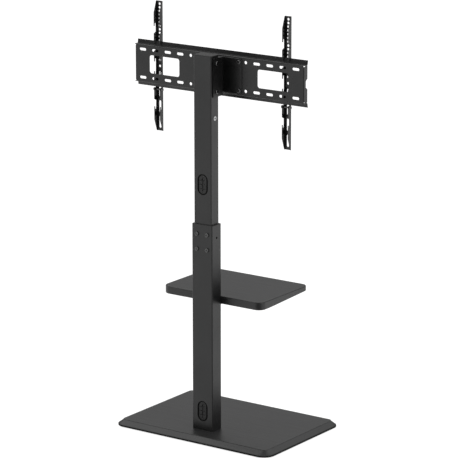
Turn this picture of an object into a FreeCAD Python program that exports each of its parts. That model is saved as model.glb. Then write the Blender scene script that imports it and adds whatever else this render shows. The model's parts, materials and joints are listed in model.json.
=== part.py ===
import FreeCAD, Part
import math
import os

# A floor stand for a television: a bevelled board on low pads, a column of two tubes that slide
# one inside the other, a shelf, and at the head a swivelling plate that two arms hook onto.
# Millimetres. The stand is seen from behind with +X to the right; +Y is the screen's side, +Z up.
# The origin lies on the floor under the middle of the board.

Vector = FreeCAD.Vector

# Board and pads
BOARD_WIDTH = 618.0
BOARD_DEPTH = 432.0
BOARD_THICKNESS = 20.0
BOARD_CORNER = 40.0
BOARD_TOP_CORNER = 14.0
BOARD_EDGE = 4.4
BOARD_BEVEL = 20.0
BOARD_STEP = 1.6
BOARD_ROUND = 0.5
PAD_RADIUS = 18.0
PAD_HEIGHT = 4.0
PAD_ROUND = 1.2
PAD_INSET = 55.0

# Column foot: a block in the tube, a steel plate in a pocket under the board, bolts from below
COLUMN_SETBACK = 102.0
FOOT_BLOCK_HEIGHT = 8.0
BASE_PLATE_WIDTH = 130.0
BASE_PLATE_DEPTH = 100.0
BASE_PLATE_THICKNESS = 3.0
BASE_PLATE_CORNER = 8.0
FOOT_BOLT_SIDE_EDGE = 13.0
FOOT_BOLT_FACE_EDGE = 11.0
POCKET_GAP = 0.5
POCKET_HEADROOM = 0.6

# Column tubes and the plastic between them
LOWER_WIDTH = 80.0
LOWER_DEPTH = 50.0
TUBE_WALL = 2.0
LOWER_RADIUS = 3.0
UPPER_RADIUS = 2.6
INNER_RADIUS = 0.8
RIM_TOP = 717.5
COLUMN_TOP = 1270.0
SLEEVE_SIDE_WALL = 3.6
SLEEVE_FACE_WALL = 2.1
SLEEVE_LENGTH = 105.5
SLEEVE_RIM = 2.0
SLEEVE_RIM_ROUND = 1.6
SEAT_FIT = 0.1
SLIDE_GAP = 0.3
GLIDE_COLLAR = 8.0
GLIDE_PLUG = 18.0
CAP_THICKNESS = 3.0
CAP_PLUG = 10.0
CAP_ROUND = 1.2
PLUG_WALL = 2.5

# Height setting: bolts through the lower tube and two long slots of the upper tube
HEIGHT_TRAVEL = 150.0
HEIGHT_BOLT_DROP = 30.5
HEIGHT_BOLT_PITCH = 50.0
HEIGHT_BOLT_EDGE = 12.0
CLAMP_PLATE_THICKNESS = 5.0
CLAMP_PLATE_MARGIN = 8.0
CLAMP_SIDE_GAP = 1.0
CLAMP_GAP = 0.2
BOLT_TIP = 1.0
SET_SCREW_DROP = 41.5
SET_SCREW_RECESS = 2.2

# Cable covers and the bush in the side of the upper tube
COVER_WIDTH = 37.0
COVER_HEIGHT = 65.0
COVER_GAP = 1.8
COVER_RECESS = 0.4
COVER_LIP = 4.0
COVER_LIP_THICKNESS = 1.5
COVER_SLIT = 1.4
COVER_SLIT_PITCH = 14.0
COVER_BORDER = 6.5
LOWER_COVER_RISE = 64.5
UPPER_COVER_RISE = 131.0
BUSH_DROP = 204.0
BUSH_RADIUS = 7.0
BUSH_BODY_RADIUS = 5.0
BUSH_BORE = 3.2
BUSH_FLANGE = 1.0

# Shelf and its bracket
SHELF_WIDTH = 394.0
SHELF_DEPTH = 278.0
SHELF_THICKNESS = 27.0
SHELF_FRONT_THICKNESS = 15.0
SHELF_SIDE_FLAT = 25.0
SHELF_PAD_MARGIN = 8.0
SHELF_CORNER = 26.0
SHELF_ROUND = 3.0
SHELF_TOP = 474.5
BRACKET_WIDTH = 70.0
BRACKET_THICKNESS = 3.0
BRACKET_REACH = 110.0
BRACKET_BOLT_DROP = 75.0
BRACKET_BOLT_PITCH = 35.0
BRACKET_BOLT_EDGE = 15.0
BRACKET_END = 14.0
SHELF_SCREW_EDGE = 13.0
SHELF_SCREW_NEAR = 50.0
SHELF_SCREW_END = 20.0
SHELF_SCREW_RADIUS = 2.0
SHELF_SCREW_HEAD = 4.2
SHELF_SCREW_HEAD_HEIGHT = 2.4
SHELF_SCREW_COVER = 12.0

# Column head and swivel
PLATE_DROP = 72.0
HEAD_SHEET = 3.0
HEAD_LAP = 32.5
HEAD_REACH = 18.5
HEAD_BOLT_EDGE = 16.5
HEAD_BOLT_BACK = 15.5
HEAD_FIT = 0.2
PIVOT_CLEAR = 1.0
PIVOT_RADIUS = 5.0
PIVOT_RUNNING = 0.05
PIVOT_HEAD_RADIUS = 8.5
PIVOT_HEAD_HEIGHT = 6.0
PIVOT_NUT_FLATS = 16.0
PIVOT_NUT_HEIGHT = 8.0
EAR_RADIUS = 13.0
EAR_GAP = 0.5
WASHER_THICKNESS = 1.5
YOKE_SHEET = 3.0
YOKE_BOLT_SPREAD = 170.0
YOKE_SIDE_EDGE = 9.0
YOKE_TOP_EDGE = 11.5
YOKE_CORNER = 9.0
YOKE_ROUND = 1.5

# Mounting plate: a pressed web with a stepped lip above and below and a flange at each end
PLATE_GAP = 44.7
PLATE_SHEET = 2.0
WEB_WIDTH = 662.0
WEB_HEIGHT = 125.0
LEDGE_DEPTH = 17.8
LIP_HEIGHT = 13.0
LIP_LEAN = 2.4
LIP_OVERHANG = 2.0
BEND_OUTSIDE = 3.0
BEND_INSIDE = 1.0
HOLE_ROW_EDGE = 16.0
SLOT_FIRST = 150.0
SLOT_PITCH = 50.0
SLOT_END_MARGIN = 20.0
SLOT_LENGTH = 26.0
SLOT_HEIGHT = 9.0
ROUND_HOLE_X = 108.0
ROUND_HOLE_RADIUS = 5.2
WINDOW_WIDTH = 120.0
WINDOW_HEIGHT = 60.0
WINDOW_RADIUS = 8.5
WINDOW_X = 213.5
FLANGE_DEPTH = 19.8
FLANGE_GAP = 0.4
FLANGE_RELIEF = 3.5
FLANGE_RELIEF_LENGTH = 9.0
NOTCH_MOUTH = 34.0
NOTCH_BOTTOM = 20.0
NOTCH_DEPTH = 9.0

# Arms: channels whose two walls carry fins and hooks
ARM_SPREAD = 504.0
ARM_WIDTH = 25.0
ARM_SHEET = 2.0
ARM_BEND = 2.5
FIN_BEHIND_LIP = 4.0
FACE_AHEAD_OF_LIP = 12.0
WALL_AHEAD_OF_LIP = 4.5
ARM_END_WALL = 2.5
ARM_TAPER = 38.5
OUTER_FIN = 43.5
INNER_TIP = 16.0
HOOK_DEPTH = 9.5
HOOK_PITCH = 58.5
HOOK_MOUTH = 24.5
HOOK_SLOPE = 5.0
HOOK_GAP = 0.8
HOOK_REST = 0.3
LEDGE_GAP = 3.0
LUG_GAP = 2.5
LOCK_BOLT_DROP = 6.0
ARM_HOLE_RADIUS = 4.25
ARM_HOLE_PITCH = 12.0
ARM_HOLE_MARGIN = 10.0
ARM_LONE_HOLE = 20.0
ARM_SLOT_LENGTH = 40.0
ARM_SLOT_PITCH = 52.0
ARM_SLOT_COUNT = 3
ARM_SLOT_MARGIN = 9.0
ARM_SHORT_SLOT = 32.0

# Fasteners and their fits
M8_RADIUS = 4.0
M8_HEAD_RADIUS = 7.0
M8_HEAD_HEIGHT = 4.4
M8_NUT_FLATS = 13.0
M8_NUT_HEIGHT = 6.5
M6_RADIUS = 3.0
M6_HEAD_RADIUS = 5.25
M6_HEAD_HEIGHT = 3.3
M6_NUT_FLATS = 10.0
M6_NUT_HEIGHT = 5.0
LOCK_HEAD_RADIUS = 5.5
LOCK_HEAD_HEIGHT = 7.0
HOLE_GAP = 0.3
THREAD_GAP = 0.1
SOCKET_SHARE = 0.42
HEAD_ROUND_SHARE = 0.6
M8_BOLT = (M8_RADIUS, M8_HEAD_RADIUS, M8_HEAD_HEIGHT)
M8_NUT = (M8_RADIUS, M8_NUT_FLATS, M8_NUT_HEIGHT)
M6_BOLT = (M6_RADIUS, M6_HEAD_RADIUS, M6_HEAD_HEIGHT)
M6_NUT = (M6_RADIUS, M6_NUT_FLATS, M6_NUT_HEIGHT)
LOCK_BOLT = (M6_RADIUS, LOCK_HEAD_RADIUS, LOCK_HEAD_HEIGHT)
PIVOT_BOLT = (PIVOT_RADIUS, PIVOT_HEAD_RADIUS, PIVOT_HEAD_HEIGHT)
PIVOT_NUT = (PIVOT_RADIUS, PIVOT_NUT_FLATS, PIVOT_NUT_HEIGHT)
SHELF_SCREW = (SHELF_SCREW_RADIUS, SHELF_SCREW_HEAD, SHELF_SCREW_HEAD_HEIGHT)

# Places worked out from the sizes above
BOARD_TOP = PAD_HEIGHT + BOARD_THICKNESS
POCKET_TOP = PAD_HEIGHT + POCKET_HEADROOM + M8_HEAD_HEIGHT + BASE_PLATE_THICKNESS
COLUMN_Y = COLUMN_SETBACK - BOARD_DEPTH / 2
COLUMN_AXIS = (0.0, COLUMN_Y)
LOWER_TOP = RIM_TOP - SLEEVE_RIM
LOWER_REAR = COLUMN_Y - LOWER_DEPTH / 2
LOWER_FRONT = COLUMN_Y + LOWER_DEPTH / 2
LOWER_BORE_WIDTH = LOWER_WIDTH - 2 * TUBE_WALL
LOWER_BORE_DEPTH = LOWER_DEPTH - 2 * TUBE_WALL
UPPER_WIDTH = LOWER_BORE_WIDTH - 2 * (SEAT_FIT + SLEEVE_SIDE_WALL + SLIDE_GAP)
UPPER_DEPTH = LOWER_BORE_DEPTH - 2 * (SEAT_FIT + SLEEVE_FACE_WALL + SLIDE_GAP)
UPPER_BORE_WIDTH = UPPER_WIDTH - 2 * TUBE_WALL
UPPER_BORE_DEPTH = UPPER_DEPTH - 2 * TUBE_WALL
UPPER_REAR = COLUMN_Y - UPPER_DEPTH / 2
UPPER_FRONT = COLUMN_Y + UPPER_DEPTH / 2
UPPER_TOP = COLUMN_TOP - CAP_THICKNESS
HEIGHT_BOLT_HIGH = LOWER_TOP - HEIGHT_BOLT_DROP
HEIGHT_BOLT_LOW = HEIGHT_BOLT_HIGH - HEIGHT_BOLT_PITCH
CLAMP_BOTTOM = HEIGHT_BOLT_LOW - M8_RADIUS - CLAMP_PLATE_MARGIN
CLAMP_TOP = HEIGHT_BOLT_HIGH + M8_RADIUS + CLAMP_PLATE_MARGIN
CLAMP_REAR = UPPER_REAR + TUBE_WALL + CLAMP_GAP
UPPER_BOTTOM = CLAMP_BOTTOM - SLIDE_GAP - HEIGHT_TRAVEL - GLIDE_PLUG
GLIDE_BOTTOM = UPPER_BOTTOM - GLIDE_COLLAR
SHELF_BOTTOM = SHELF_TOP - SHELF_THICKNESS
BRACKET_BOLT_HIGH = min(SHELF_BOTTOM - BRACKET_BOLT_DROP, GLIDE_BOTTOM - M6_NUT_FLATS)
BRACKET_BOTTOM = BRACKET_BOLT_HIGH - BRACKET_BOLT_PITCH - BRACKET_END
LOWER_COVER_Z = BOARD_TOP + LOWER_COVER_RISE
UPPER_COVER_Z = RIM_TOP + UPPER_COVER_RISE
BUSH_Z = COLUMN_TOP - BUSH_DROP
PLATE_Z = COLUMN_TOP - PLATE_DROP
HOLE_ROW_SPREAD = WEB_HEIGHT - 2 * HOLE_ROW_EDGE
YOKE_HEIGHT = HOLE_ROW_SPREAD + 2 * YOKE_TOP_EDGE
YOKE_WIDTH = YOKE_BOLT_SPREAD + 2 * YOKE_SIDE_EDGE
HEAD_HEIGHT = YOKE_HEIGHT + 2 * (HEAD_SHEET + WASHER_THICKNESS)
HEAD_BOTTOM = PLATE_Z - HEAD_HEIGHT / 2
HEAD_TOP = PLATE_Z + HEAD_HEIGHT / 2
HEAD_INSIDE = UPPER_WIDTH / 2 + HEAD_FIT
HEAD_OUTSIDE = HEAD_INSIDE + HEAD_SHEET
HEAD_BOLT_Y = UPPER_FRONT - HEAD_BOLT_BACK
PIVOT_Y = UPPER_FRONT + EAR_RADIUS + PIVOT_CLEAR
PIVOT_HOLE = PIVOT_RADIUS + PIVOT_RUNNING
PLATE_REAR = UPPER_FRONT + PLATE_GAP
PLATE_FRONT = PLATE_REAR + PLATE_SHEET
LIP_FRONT = PLATE_REAR + LEDGE_DEPTH
LIP_REAR = LIP_FRONT - PLATE_SHEET
LIP_TOP = PLATE_Z + WEB_HEIGHT / 2 + LIP_HEIGHT
LIP_BOTTOM = PLATE_Z - WEB_HEIGHT / 2 - LIP_HEIGHT
CARRYING_TIP = INNER_TIP + HOOK_PITCH
OUTER_TIP = CARRYING_TIP + HOOK_PITCH
FIN_TOP = OUTER_TIP + OUTER_FIN
ARM_HEIGHT = 2 * (FIN_TOP + ARM_TAPER)
HOOK_SEAT = CARRYING_TIP + HOOK_DEPTH
ARM_Z = LIP_TOP + HOOK_REST - HOOK_SEAT
ARM_REAR = LIP_REAR - FIN_BEHIND_LIP
ARM_FRONT = LIP_FRONT + FACE_AHEAD_OF_LIP
LUG_TOP = LIP_BOTTOM - LUG_GAP
FIN_BOTTOM = PLATE_Z - WEB_HEIGHT / 2 + PLATE_SHEET + LEDGE_GAP
LOCK_BOLT_Y = (LIP_REAR + LIP_FRONT) / 2 + LIP_LEAN
LOCK_BOLT_Z = LUG_TOP - LOCK_BOLT_DROP
TOUCHING = 1e-6
PAST = 1.0


def level(z):
    """Puts an outline's (u, v) on the plane at height z."""
    return lambda p: Vector(p.x, p.y, z)


def upright(y):
    """Puts an outline's (u, v) on the plane across the stand at y, with v up."""
    return lambda p: Vector(p.x, y, p.y)


def sideways(x):
    """Puts an outline's (u, v) on the plane along the stand at x, with v up."""
    return lambda p: Vector(x, p.x, p.y)


def outline(corners, place):
    """Closed wire through (u, v, radius) corners; a corner with a radius becomes a tangent arc."""
    count = len(corners)
    arcs = []
    for i in range(count):
        here = Vector(corners[i][0], corners[i][1], 0)
        before = Vector(corners[i - 1][0], corners[i - 1][1], 0) - here
        after = Vector(corners[(i + 1) % count][0], corners[(i + 1) % count][1], 0) - here
        before.normalize()
        after.normalize()
        half_angle = before.getAngle(after) / 2
        radius = corners[i][2]
        setback = radius / math.tan(half_angle)
        bisector = (before + after).normalize()
        middle = here + bisector * (radius / math.sin(half_angle) - radius)
        arcs.append((here + before * setback, middle, here + after * setback))
    edges = []
    for i in range(count):
        start, middle, end = arcs[i]
        if corners[i][2] > 0:
            edges.append(Part.Arc(place(start), place(middle), place(end)).toShape())
        following = arcs[(i + 1) % count][0]
        if (following - end).Length > TOUCHING:
            edges.append(Part.LineSegment(place(end), place(following)).toShape())
    return Part.Wire(edges)


def rectangle(width, height, radius=0.0, centre=(0.0, 0.0)):
    """Corners of a rectangle about a centre, all with one radius."""
    u, v = centre
    half_width = width / 2
    half_height = height / 2
    return [(u - half_width, v - half_height, radius), (u + half_width, v - half_height, radius),
            (u + half_width, v + half_height, radius), (u - half_width, v + half_height, radius)]


def obround(length, height, centre):
    """Corners of a slot with round ends, whichever way it is longer."""
    return rectangle(length, height, min(length, height) / 2, centre)


def prism(corners, place, along):
    """An outline carried straight along a vector."""
    return Part.Face(outline(corners, place)).extrude(Vector(*along))


def rod(start, along, radius):
    """A round bar from a point along a vector."""
    direction = Vector(*along)
    return Part.makeCylinder(radius, direction.Length, Vector(*start), direction)


def turned_to(shape, outward, seat):
    """Turns a shape made along +Z to another direction and carries it to its seat."""
    shape.Placement = FreeCAD.Placement(Vector(*seat), FreeCAD.Rotation(Vector(0, 0, 1), Vector(*outward)))
    return shape


def hexagon(flats, height, z):
    """A six-sided bar along +Z."""
    corner = flats / math.sqrt(3)
    points = []
    for i in range(6):
        angle = math.radians(60 * i)
        points.append((corner * math.cos(angle), corner * math.sin(angle), 0.0))
    return prism(points, level(z), (0, 0, height))


def bolt(seat, outward, size, length):
    """A socket bolt with a rounded head outside its seat and its shank going in."""
    radius, head_radius, head_height = size
    head = Part.makeCylinder(head_radius, head_height)
    rim = [e for e in head.Edges if abs(e.BoundBox.ZMin - head_height) < TOUCHING]
    head = head.makeFillet(HEAD_ROUND_SHARE * head_height, rim)
    depth = head_height * HEAD_ROUND_SHARE
    socket = hexagon(2 * head_radius * SOCKET_SHARE, depth + PAST, head_height - depth)
    shank = rod((0, 0, -length), (0, 0, length), radius)
    return turned_to(head.cut(socket).fuse(shank).removeSplitter(), outward, seat)


def nut(seat, outward, size):
    """A hexagon nut standing on its seat."""
    radius, flats, height = size
    body = hexagon(flats, height, 0.0)
    bore = rod((0, 0, -PAST), (0, 0, height + 2 * PAST), radius + THREAD_GAP)
    return turned_to(body.cut(bore), outward, seat)


def group(shapes):
    """Several separate solids kept as one piece."""
    return Part.makeCompound(list(shapes))


def tube(width, depth, radius, bottom, top):
    """A rectangular tube of the column, upright about the column's axis."""
    outside = prism(rectangle(width, depth, radius, COLUMN_AXIS), level(bottom), (0, 0, top - bottom))
    bore = rectangle(width - 2 * TUBE_WALL, depth - 2 * TUBE_WALL, INNER_RADIUS, COLUMN_AXIS)
    return outside.cut(prism(bore, level(bottom - PAST), (0, 0, top - bottom + 2 * PAST)))


def cross(spread_u, spread_v, centre=(0.0, 0.0)):
    """The four corners of a bolt pattern."""
    u, v = centre
    return [(u + i * spread_u / 2, v + j * spread_v / 2) for i in (-1, 1) for j in (-1, 1)]


def height_bolt_spread():
    """Distance across between the height bolts, and between the slots that they run in."""
    return UPPER_BORE_WIDTH - 2 * HEIGHT_BOLT_EDGE


def height_bolt_places():
    """(x, z) of the four bolts in the rear face of the lower tube."""
    middle = (HEIGHT_BOLT_HIGH + HEIGHT_BOLT_LOW) / 2
    return cross(height_bolt_spread(), HEIGHT_BOLT_PITCH, (0.0, middle))


def bracket_bolt_places():
    """(x, z) of the four bolts that hold the shelf bracket to the column."""
    middle = BRACKET_BOLT_HIGH - BRACKET_BOLT_PITCH / 2
    return cross(BRACKET_WIDTH - 2 * BRACKET_BOLT_EDGE, BRACKET_BOLT_PITCH, (0.0, middle))


def shelf_screw_places():
    """(x, y) of the four screws that hold the shelf to its bracket."""
    pitch = BRACKET_REACH - SHELF_SCREW_NEAR - SHELF_SCREW_END
    middle = LOWER_FRONT + SHELF_SCREW_NEAR + pitch / 2
    return cross(BRACKET_WIDTH - 2 * SHELF_SCREW_EDGE, pitch, (0.0, middle))


def base_bolt_places():
    """(x, y) of the four bolts that hold the column to the board."""
    across = LOWER_BORE_WIDTH - 2 * FOOT_BOLT_SIDE_EDGE
    along = LOWER_BORE_DEPTH - 2 * FOOT_BOLT_FACE_EDGE
    return cross(across, along, COLUMN_AXIS)


def yoke_bolt_places():
    """(x, z) of the four bolts that hold the mounting plate to the yoke."""
    return cross(YOKE_BOLT_SPREAD, HOLE_ROW_SPREAD, (0.0, PLATE_Z))


def base_board():
    """Upright lower edge, a wide flat bevel, a small step up to the top, and a pocket below."""
    outside = rectangle(BOARD_WIDTH, BOARD_DEPTH, BOARD_CORNER)
    top = rectangle(BOARD_WIDTH - 2 * BOARD_BEVEL, BOARD_DEPTH - 2 * BOARD_BEVEL, BOARD_TOP_CORNER)
    sections = [outline(outside, level(PAD_HEIGHT)), outline(outside, level(PAD_HEIGHT + BOARD_EDGE)),
                outline(top, level(BOARD_TOP - BOARD_STEP)), outline(top, level(BOARD_TOP))]
    board = Part.makeLoft(sections, True, True)
    flat_edges = [e for e in board.Edges if e.BoundBox.ZLength < TOUCHING]
    board = board.makeFillet(BOARD_ROUND, flat_edges)
    pocket = rectangle(BASE_PLATE_WIDTH + 2 * POCKET_GAP, BASE_PLATE_DEPTH + 2 * POCKET_GAP,
                       BASE_PLATE_CORNER + POCKET_GAP, COLUMN_AXIS)
    board = board.cut(prism(pocket, level(PAD_HEIGHT - PAST), (0, 0, POCKET_TOP - PAD_HEIGHT + PAST)))
    for x, y in base_bolt_places():
        board = board.cut(rod((x, y, 0), (0, 0, BOARD_TOP + PAST), M8_RADIUS + HOLE_GAP))
    return board


def base_pads():
    """Four round rubber pads under the board's corners."""
    pads = []
    for x, y in cross(BOARD_WIDTH - 2 * PAD_INSET, BOARD_DEPTH - 2 * PAD_INSET):
        pad = rod((x, y, 0), (0, 0, PAD_HEIGHT), PAD_RADIUS)
        foot = [e for e in pad.Edges if e.BoundBox.ZMax < TOUCHING]
        pads.append(pad.makeFillet(PAD_ROUND, foot))
    return group(pads)


def base_plate():
    """Steel plate in the board's pocket, under the column."""
    corners = rectangle(BASE_PLATE_WIDTH, BASE_PLATE_DEPTH, BASE_PLATE_CORNER, COLUMN_AXIS)
    bottom = POCKET_TOP - BASE_PLATE_THICKNESS
    plate = prism(corners, level(bottom), (0, 0, BASE_PLATE_THICKNESS))
    for x, y in base_bolt_places():
        plate = plate.cut(rod((x, y, 0), (0, 0, BOARD_TOP), M8_RADIUS + HOLE_GAP))
    return plate


def base_bolts():
    """Four bolts from below, through plate and board into the column's foot block."""
    seat = POCKET_TOP - BASE_PLATE_THICKNESS
    length = BOARD_TOP + FOOT_BLOCK_HEIGHT + BOLT_TIP - seat
    return group(bolt((x, y, seat), (0, 0, -1), M8_BOLT, length) for x, y in base_bolt_places())


def bore_fit():
    """Corners of what fits tightly in the lower tube's bore."""
    width = LOWER_BORE_WIDTH - 2 * SEAT_FIT
    depth = LOWER_BORE_DEPTH - 2 * SEAT_FIT
    return rectangle(width, depth, INNER_RADIUS, COLUMN_AXIS)


def column_foot():
    """Tapped block that fills the lower end of the lower tube."""
    block = prism(bore_fit(), level(BOARD_TOP), (0, 0, FOOT_BLOCK_HEIGHT))
    for x, y in base_bolt_places():
        block = block.cut(rod((x, y, 0), (0, 0, RIM_TOP), M8_RADIUS + THREAD_GAP))
    return block


def cover_hole(face, z):
    """Opening for a cable cover in the rear wall of a tube whose outer face is given."""
    corners = obround(COVER_WIDTH + 2 * COVER_GAP, COVER_HEIGHT + 2 * COVER_GAP, (0.0, z))
    return prism(corners, upright(face - PAST), (0, TUBE_WALL + 2 * PAST, 0))


def cable_cover(face, z):
    """Flush plastic cover held by a wider lip behind the wall, slit into flaps for cables."""
    plug = prism(obround(COVER_WIDTH, COVER_HEIGHT, (0.0, z)), upright(face + COVER_RECESS),
                 (0, TUBE_WALL - COVER_RECESS, 0))
    lip_corners = obround(COVER_WIDTH + 2 * COVER_LIP, COVER_HEIGHT + 2 * COVER_LIP, (0.0, z))
    lip = prism(lip_corners, upright(face + TUBE_WALL), (0, COVER_LIP_THICKNESS, 0))
    cover = plug.fuse(lip).removeSplitter()
    through = (0, TUBE_WALL + COVER_LIP_THICKNESS + 2 * PAST, 0)
    slit_height = COVER_HEIGHT - COVER_WIDTH + 2 * COVER_BORDER
    slits = [rectangle(COVER_SLIT, slit_height, 0.0, (0.0, z))]
    for i in (-1, 0, 1):
        middle = (0.0, z + i * COVER_SLIT_PITCH)
        slits.append(rectangle(COVER_WIDTH - 2 * COVER_BORDER, COVER_SLIT, 0.0, middle))
    for slit in slits:
        cover = cover.cut(prism(slit, upright(face - PAST), through))
    return cover


def lower_column():
    """Outer tube: bolts and a cable opening behind, a grub screw at the side, bracket bolts in front."""
    body = tube(LOWER_WIDTH, LOWER_DEPTH, LOWER_RADIUS, BOARD_TOP, LOWER_TOP)
    wall = TUBE_WALL + 2 * PAST
    for x, z in height_bolt_places():
        body = body.cut(rod((x, LOWER_REAR - PAST, z), (0, wall, 0), M8_RADIUS + HOLE_GAP))
    for x, z in bracket_bolt_places():
        body = body.cut(rod((x, LOWER_FRONT + PAST, z), (0, -wall, 0), M6_RADIUS + HOLE_GAP))
    screw_start = (LOWER_WIDTH / 2 + PAST, COLUMN_Y, LOWER_TOP - SET_SCREW_DROP)
    body = body.cut(rod(screw_start, (-wall, 0, 0), M8_RADIUS + THREAD_GAP))
    return body.cut(cover_hole(LOWER_REAR, LOWER_COVER_Z))


def column_sleeve():
    """Plastic liner in the mouth of the lower tube, with a thin rim over the tube's end."""
    bore = rectangle(UPPER_WIDTH + 2 * SLIDE_GAP, UPPER_DEPTH + 2 * SLIDE_GAP, UPPER_RADIUS, COLUMN_AXIS)
    bottom = LOWER_TOP - SLEEVE_LENGTH
    rim_corners = rectangle(LOWER_WIDTH, LOWER_DEPTH, LOWER_RADIUS, COLUMN_AXIS)
    rim = prism(rim_corners, level(LOWER_TOP), (0, 0, SLEEVE_RIM))
    rim_edge = [e for e in rim.Edges if e.BoundBox.ZMin > RIM_TOP - TOUCHING]
    rim = rim.makeFillet(SLEEVE_RIM_ROUND, rim_edge)
    sleeve = prism(bore_fit(), level(bottom), (0, 0, SLEEVE_LENGTH)).fuse(rim)
    sleeve = sleeve.cut(prism(bore, level(bottom - PAST), (0, 0, RIM_TOP - bottom + 2 * PAST)))
    for x, z in height_bolt_places():
        sleeve = sleeve.cut(rod((x, LOWER_REAR, z), (0, LOWER_DEPTH / 2, 0), M8_RADIUS + HOLE_GAP))
    screw_start = (LOWER_WIDTH / 2, COLUMN_Y, LOWER_TOP - SET_SCREW_DROP)
    return sleeve.cut(rod(screw_start, (-LOWER_WIDTH / 2, 0, 0), M8_RADIUS + HOLE_GAP))


def height_bolts():
    """Four bolts through the lower tube, its liner and the upper tube's slots into the clamp plate."""
    length = CLAMP_REAR + CLAMP_PLATE_THICKNESS + BOLT_TIP - LOWER_REAR
    return group(bolt((x, LOWER_REAR, z), (0, -1, 0), M8_BOLT, length) for x, z in height_bolt_places())


def clamp_plate():
    """Tapped plate inside the upper tube; the bolts draw the tube's wall between it and the liner."""
    width = UPPER_BORE_WIDTH - 2 * CLAMP_SIDE_GAP
    corners = rectangle(width, CLAMP_TOP - CLAMP_BOTTOM, 0.0, (0.0, (CLAMP_TOP + CLAMP_BOTTOM) / 2))
    plate = prism(corners, upright(CLAMP_REAR), (0, CLAMP_PLATE_THICKNESS, 0))
    for x, z in height_bolt_places():
        plate = plate.cut(rod((x, LOWER_REAR, z), (0, LOWER_DEPTH, 0), M8_RADIUS + THREAD_GAP))
    return plate


def side_grub_screw():
    """Socket grub screw in the right side, just short of the upper tube."""
    outer_end = LOWER_WIDTH / 2 - SET_SCREW_RECESS
    length = outer_end - UPPER_WIDTH / 2 - SLIDE_GAP
    screw = rod((0, 0, -length), (0, 0, length), M8_RADIUS)
    socket_depth = length / 2
    socket = hexagon(2 * M8_RADIUS * SOCKET_SHARE, socket_depth + PAST, -socket_depth)
    return turned_to(screw.cut(socket), (1, 0, 0), (outer_end, COLUMN_Y, LOWER_TOP - SET_SCREW_DROP))


def upper_column():
    """Inner tube: two bolt slots low in its rear wall, a cable opening, a bush hole and head bolt holes."""
    body = tube(UPPER_WIDTH, UPPER_DEPTH, UPPER_RADIUS, UPPER_BOTTOM, UPPER_TOP)
    wall = (0, TUBE_WALL + 2 * PAST, 0)
    slot_width = 2 * (M8_RADIUS + HOLE_GAP)
    slot_height = HEIGHT_BOLT_PITCH + HEIGHT_TRAVEL + slot_width
    slot_middle = HEIGHT_BOLT_HIGH + slot_width / 2 - slot_height / 2
    for side in (-1, 1):
        corners = obround(slot_width, slot_height, (side * height_bolt_spread() / 2, slot_middle))
        body = body.cut(prism(corners, upright(UPPER_REAR - PAST), wall))
    body = body.cut(cover_hole(UPPER_REAR, UPPER_COVER_Z))
    bush_start = (UPPER_WIDTH / 2 + PAST, COLUMN_Y, BUSH_Z)
    body = body.cut(rod(bush_start, (-TUBE_WALL - 2 * PAST, 0, 0), BUSH_BODY_RADIUS + SEAT_FIT))
    for z in head_bolt_heights():
        start = (-UPPER_WIDTH, HEAD_BOLT_Y, z)
        body = body.cut(rod(start, (2 * UPPER_WIDTH, 0, 0), M8_RADIUS + HOLE_GAP))
    return body


def plug_hollow(bottom, height):
    """The way for cables through a plug in the upper tube's bore."""
    inset = 2 * (SEAT_FIT + PLUG_WALL)
    corners = rectangle(UPPER_BORE_WIDTH - inset, UPPER_BORE_DEPTH - inset, INNER_RADIUS, COLUMN_AXIS)
    return prism(corners, level(bottom), (0, 0, height))


def hollow_plug(bottom, height):
    """Thin-walled plastic plug that fits the upper tube's bore."""
    width = UPPER_BORE_WIDTH - 2 * SEAT_FIT
    depth = UPPER_BORE_DEPTH - 2 * SEAT_FIT
    plug = prism(rectangle(width, depth, INNER_RADIUS, COLUMN_AXIS), level(bottom), (0, 0, height))
    return plug.cut(plug_hollow(bottom - PAST, height + 2 * PAST))


def upper_glide():
    """Plastic shoe on the upper tube's lower end, running in the lower tube's bore."""
    width = LOWER_BORE_WIDTH - 2 * SLIDE_GAP
    depth = LOWER_BORE_DEPTH - 2 * SLIDE_GAP
    corners = rectangle(width, depth, UPPER_RADIUS, COLUMN_AXIS)
    collar = prism(corners, level(GLIDE_BOTTOM), (0, 0, GLIDE_COLLAR))
    collar = collar.cut(plug_hollow(GLIDE_BOTTOM - PAST, GLIDE_COLLAR + 2 * PAST))
    return collar.fuse(hollow_plug(UPPER_BOTTOM, GLIDE_PLUG)).removeSplitter()


def column_cap():
    """Plastic cap on the column's top, plugged into the upper tube."""
    corners = rectangle(UPPER_WIDTH, UPPER_DEPTH, UPPER_RADIUS, COLUMN_AXIS)
    lid = prism(corners, level(UPPER_TOP), (0, 0, CAP_THICKNESS))
    rim = [e for e in lid.Edges if e.BoundBox.ZMin > COLUMN_TOP - TOUCHING]
    lid = lid.makeFillet(CAP_ROUND, rim)
    return lid.fuse(hollow_plug(UPPER_TOP - CAP_PLUG, CAP_PLUG)).removeSplitter()


def side_bush():
    """Small flanged ring in the right side of the upper tube."""
    face = UPPER_WIDTH / 2
    ring = rod((face - TUBE_WALL, COLUMN_Y, BUSH_Z), (TUBE_WALL, 0, 0), BUSH_BODY_RADIUS)
    ring = ring.fuse(rod((face, COLUMN_Y, BUSH_Z), (BUSH_FLANGE, 0, 0), BUSH_RADIUS)).removeSplitter()
    through = (TUBE_WALL + BUSH_FLANGE + 2 * PAST, 0, 0)
    return ring.cut(rod((face - TUBE_WALL - PAST, COLUMN_Y, BUSH_Z), through, BUSH_BORE))


def shelf_taper(start, left, right):
    """Wedge under the board that thins it from start to its front edge, between two sides."""
    front = LOWER_FRONT + SHELF_DEPTH
    thin = SHELF_TOP - SHELF_FRONT_THICKNESS
    below = SHELF_BOTTOM - PAST
    corners = [(start, SHELF_BOTTOM, 0.0), (front, thin, 0.0), (front, below, 0.0), (start, below, 0.0)]
    return prism(corners, sideways(left), (right - left, 0, 0))


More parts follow.
